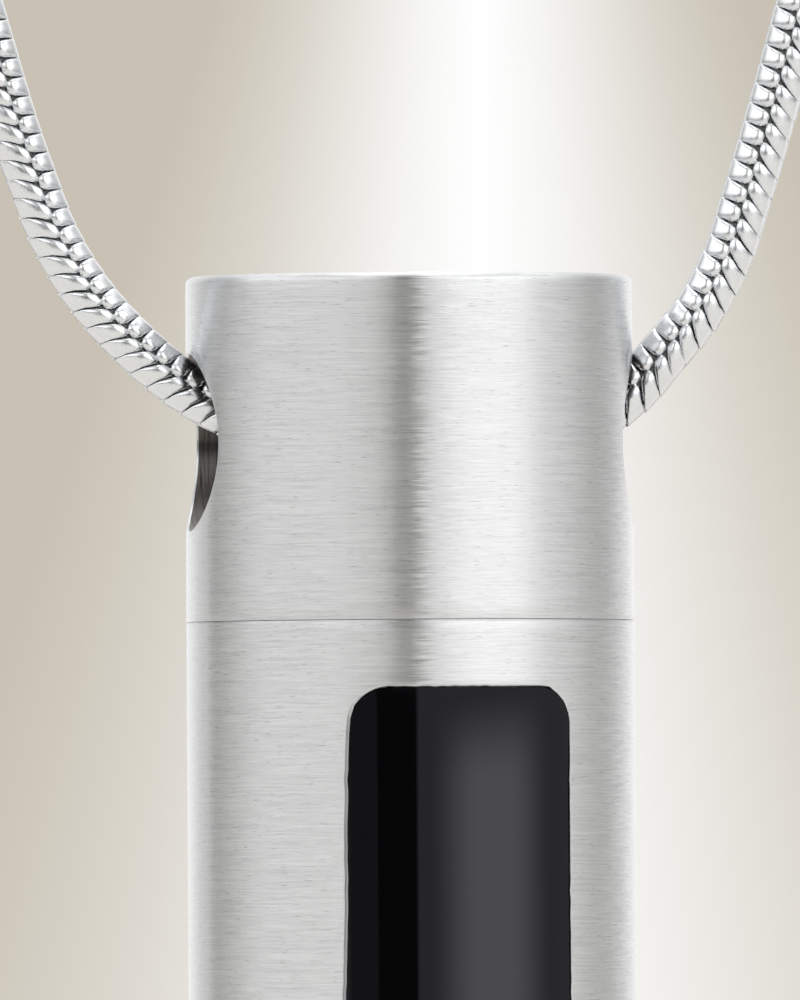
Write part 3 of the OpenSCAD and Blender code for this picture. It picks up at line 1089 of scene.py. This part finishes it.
# %% The studio's softboxes and cards
AMBIENT = 0.42
OPEN = 999.0
SOFTBOXES = {
    # name: first side, its soft edge, last side, its soft edge, low rise, soft, high rise, soft, brightness
    "left bank": (-107, 23, -13, 16, 10, 5, 50, 12, 1.32),
    "right bank": (7, 6, 100, 35, 10, 5, 50, 12, 1.43),
    "hot middle": (20, 8, 72, 14, 10, 5, 50, 12, 0.30),
    "right strip": (22, 14, 64, 14, -1.6, 1.6, 10, 5, 1.42),
    "low right": (3, 1, 95, 10, -12, 5, 10, 5, 0.10),
    "ceiling": (-OPEN, 1, OPEN, 1, 72, 12, OPEN, 1, 1.08),
    "high left back": (-OPEN, 1, -100, 15, 40, 12, OPEN, 1, 0.85),
    "high right back": (100, 15, OPEN, 1, 40, 12, OPEN, 1, 0.85),
    "left back": (-OPEN, 1, -127, 3, -35, 10, 75, 10, 0.34),
    "far left back": (-OPEN, 1, -144, 12, -35, 10, 75, 10, 0.34),
    "right back": (134, 24, OPEN, 1, -35, 10, 75, 10, 0.72),
}
CARDS = {
    # a card takes light away: the last number is the share that it leaves
    "black card": (-18, 1, 3, 1, -14, 4, 5.5, 5, 0.09),
    "grey card": (-33, 2, -18, 1, -14, 4, 9, 4, 0.40),
    "gap between the banks": (-8, 3, 4.2, 2.6, 9, 4, 80, 5, 0.14),
    "left edge": (-128, 2, -117, 6, -35, 10, 75, 10, 0.80),
}


def window_of_light(tree, side, rise, numbers):
    """A socket that is 1 inside a window of directions and falls softly to 0 outside it."""
    first, soft_first, last, soft_last, low, soft_low, high, soft_high = numbers
    product = None
    for value, at, soft, start in (
        (side, first, soft_first, 0.0), (side, last, soft_last, 1.0),
        (rise, low, soft_low, 0.0), (rise, high, soft_high, 1.0),
    ):
        step = add(tree, "ShaderNodeMapRange", {
            "Value": value, "From Min": float(at - soft), "From Max": float(at + soft),
            "To Min": start, "To Max": 1.0 - start,
        }, interpolation_type="SMOOTHSTEP").outputs[0]
        if product is not None:
            step = add(tree, "ShaderNodeMath", {0: product, 1: step}, operation="MULTIPLY").outputs[0]
        product = step
    return product


def studio_light(tree, way):
    """The room's brightness in a direction: softboxes add to the ambient light and cards take it away."""
    dots = []
    for axis in (view_right, direction(VIEW_TURN), Vector((0.0, 0.0, 1.0))):
        dot = add(tree, "ShaderNodeVectorMath", {0: way, 1: tuple(axis)}, operation="DOT_PRODUCT")
        dots.append(dot.outputs["Value"])
    right, near, up = dots
    turn = add(tree, "ShaderNodeMath", {0: right, 1: near}, operation="ARCTAN2").outputs[0]
    lift = add(tree, "ShaderNodeMath", {0: up}, operation="ARCSINE").outputs[0]
    side = add(tree, "ShaderNodeMath", {0: turn}, operation="DEGREES").outputs[0]
    rise = add(tree, "ShaderNodeMath", {0: lift}, operation="DEGREES").outputs[0]
    total = AMBIENT
    for *numbers, brightness in SOFTBOXES.values():
        lit = window_of_light(tree, side, rise, numbers)
        total = add(tree, "ShaderNodeMath", {
            0: lit, 1: brightness, 2: total,
        }, operation="MULTIPLY_ADD").outputs[0]
    for *numbers, left in CARDS.values():
        covered = window_of_light(tree, side, rise, numbers)
        share = add(tree, "ShaderNodeMath", {
            0: covered, 1: left - 1.0, 2: 1.0,
        }, operation="MULTIPLY_ADD").outputs[0]
        total = add(tree, "ShaderNodeMath", {0: total, 1: share}, operation="MULTIPLY").outputs[0]
    return total


print(len(SOFTBOXES), "softboxes and", len(CARDS), "cards")

# %% [markdown]
# The camera itself sees a paper backdrop: beige, with a painted pool of white light behind the pendant that
# fades out evenly to both sides and widens downwards, as the light of a lamp on the floor does. The pool has
# its place in the world, so it doesn't follow the camera.

# %% The world
POOL_SIDE = 83.0
POOL_REACH = 431.0
POOL_SPREAD = 0.3325
POOL_NARROWEST = 100.0
PIXELS_HIGH = 1000.0
# beige paper, with the first stops going white as a painted pool of light
PAPER_AND_POOL = ("#ffffff", "#fafaf9", "#f4f3f0", "#edeae6", "#e4e1da", "#dbd7ce", "#d4cfc4", "#cec7bb", "#c9c1b4")


def studio_world():
    """The world: the camera sees the paper backdrop with its painted pool of light, and everything else the
    softboxes.
    """
    world = bpy.data.worlds.new("studio")
    world.use_nodes = True
    tree = world.node_tree
    tree.nodes.clear()
    way = add(tree, "ShaderNodeTexCoord").outputs["Generated"]
    dots = []
    for axis in (view_right, Vector((0.0, 0.0, 1.0)), -direction(VIEW_TURN, VIEW_RISE)):
        dot = add(tree, "ShaderNodeVectorMath", {0: way, 1: tuple(axis)}, operation="DOT_PRODUCT")
        dots.append(dot.outputs["Value"])
    right, up, ahead = dots
    scale = LENS / SENSOR * PIXELS_HIGH
    level = math.tan(VIEW_RISE) * scale
    sideways = add(tree, "ShaderNodeMath", {0: right, 1: ahead}, operation="DIVIDE").outputs[0]
    rise = add(tree, "ShaderNodeMath", {0: up, 1: ahead}, operation="DIVIDE").outputs[0]
    across = add(tree, "ShaderNodeMath", {
        0: sideways, 1: scale, 2: -POOL_SIDE,
    }, operation="MULTIPLY_ADD").outputs[0]
    away = add(tree, "ShaderNodeMath", {0: across}, operation="ABSOLUTE").outputs[0]
    reach = add(tree, "ShaderNodeMath", {
        0: rise, 1: -POOL_SPREAD * scale, 2: POOL_REACH - POOL_SPREAD * level,
    }, operation="MULTIPLY_ADD").outputs[0]
    wide = add(tree, "ShaderNodeMath", {0: reach, 1: POOL_NARROWEST}, operation="MAXIMUM").outputs[0]
    share = add(tree, "ShaderNodeMath", {0: away, 1: wide}, operation="DIVIDE").outputs[0]
    backdrop_pool = add(tree, "ShaderNodeValToRGB", {0: share})
    stops = backdrop_pool.color_ramp.elements
    stops[-1].color = linear(PAPER_AND_POOL[-1])
    stops[0].color = linear(PAPER_AND_POOL[0])
    for i, colour in enumerate(PAPER_AND_POOL[1:-1], 1):
        stops.new(i / (len(PAPER_AND_POOL) - 1)).color = linear(colour)
    seen = add(tree, "ShaderNodeBackground", {"Color": backdrop_pool.outputs[0], "Strength": 1.0})
    room = add(tree, "ShaderNodeBackground", {
        "Color": linear("#ffffff"), "Strength": studio_light(tree, way),
    })
    eye = add(tree, "ShaderNodeLightPath").outputs["Is Camera Ray"]
    mixed = add(tree, "ShaderNodeMixShader", {0: eye, 1: room.outputs[0], 2: seen.outputs[0]})
    add(tree, "ShaderNodeOutputWorld", {"Surface": mixed.outputs[0]})
    return world


bpy.context.scene.world = studio_world()
print("the room's own light is", AMBIENT)

# %% [markdown]
# One real lamp hangs over the set, a wide softbox that gives the floor its soft shadow under the pendant.
# The floor is matt pale paint on a disc, and it fades out towards its edge, so that it ends in no line.

# %% The lamp and the floor
LAMP_HEIGHT = 1.2
LAMP_SIZE = 1.0
LAMP_POWER = 2.0
FLOOR_DROP = 16.0
FLOOR_R = 0.8
FADE_FROM = 0.3
FADE_TO = 0.95
FLOOR_CORNERS = 96
lamp = bpy.data.lights.new("overhead_softbox", "AREA")
lamp.size = LAMP_SIZE
lamp.energy = LAMP_POWER
overhead = new_object("overhead_softbox", lamp)
overhead.location = (0.0, 0.0, LAMP_HEIGHT)
overhead.visible_camera = False


def floor_paint(level, radius):
    """Matt pale paint that fades out towards the floor's edge."""
    material, tree = new_material("matt_pale_paint")
    where = add(tree, "ShaderNodeTexCoord").outputs["Object"]
    far = add(tree, "ShaderNodeVectorMath", {
        0: where, 1: (0, 0, level),
    }, operation="DISTANCE").outputs["Value"]
    fade = add(tree, "ShaderNodeMapRange", {
        "Value": far, "From Min": radius * FADE_FROM, "From Max": radius * FADE_TO,
        "To Min": 0.0, "To Max": 1.0,
    }, interpolation_type="SMOOTHSTEP").outputs[0]
    paint = add(tree, "ShaderNodeBsdfPrincipled", {"Base Color": linear("#d8d5d0"), "Roughness": 0.7})
    clear = add(tree, "ShaderNodeBsdfTransparent")
    mixed = add(tree, "ShaderNodeMixShader", {0: fade, 1: paint.outputs[0], 2: clear.outputs[0]})
    add(tree, "ShaderNodeOutputMaterial", {"Surface": mixed.outputs[0]})
    return material


floor_z = (TUBE_BOTTOM - FLOOR_DROP) * MM
disc = bpy.data.meshes.new("floor")
turns = np.linspace(0, 2 * math.pi, FLOOR_CORNERS + 1)[:-1]
rim = [(FLOOR_R * math.cos(a), FLOOR_R * math.sin(a), floor_z) for a in turns]
disc.from_pydata(rim, [], [tuple(range(len(rim)))])
disc.materials.append(floor_paint(floor_z, FLOOR_R))
floor = new_object("floor", disc)
print(f"the floor lies {-floor_z / MM:.0f} mm below the nape")

# %% [markdown]
# Last, each piece is tied to the body that it moves with, and the plain solid that it stands for is hidden.
# The chain and clasp are the necklace, the cap hangs on it, and the urn with its panel unscrews from the
# cap.

# %% Tie the pieces to their bodies
for piece, body, finish, stands_for in (
    (cap, "cap", "brushed_steel", ["cap"]),
    (stud_thread, "cap", "brushed_steel", []),
    (tube, "urn", "brushed_steel", ["tube"]),
    (mouth_thread, "urn", "brushed_steel", []),
    (panel, "urn", "black_inlay", ["inlay"]),
    (clasp, "necklace", "chain_steel", ["clasp"]),
    *[(run, "necklace", "chain_steel", ["chain"]) for run in chain],
):
    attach(piece, body)
    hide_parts(*stands_for)
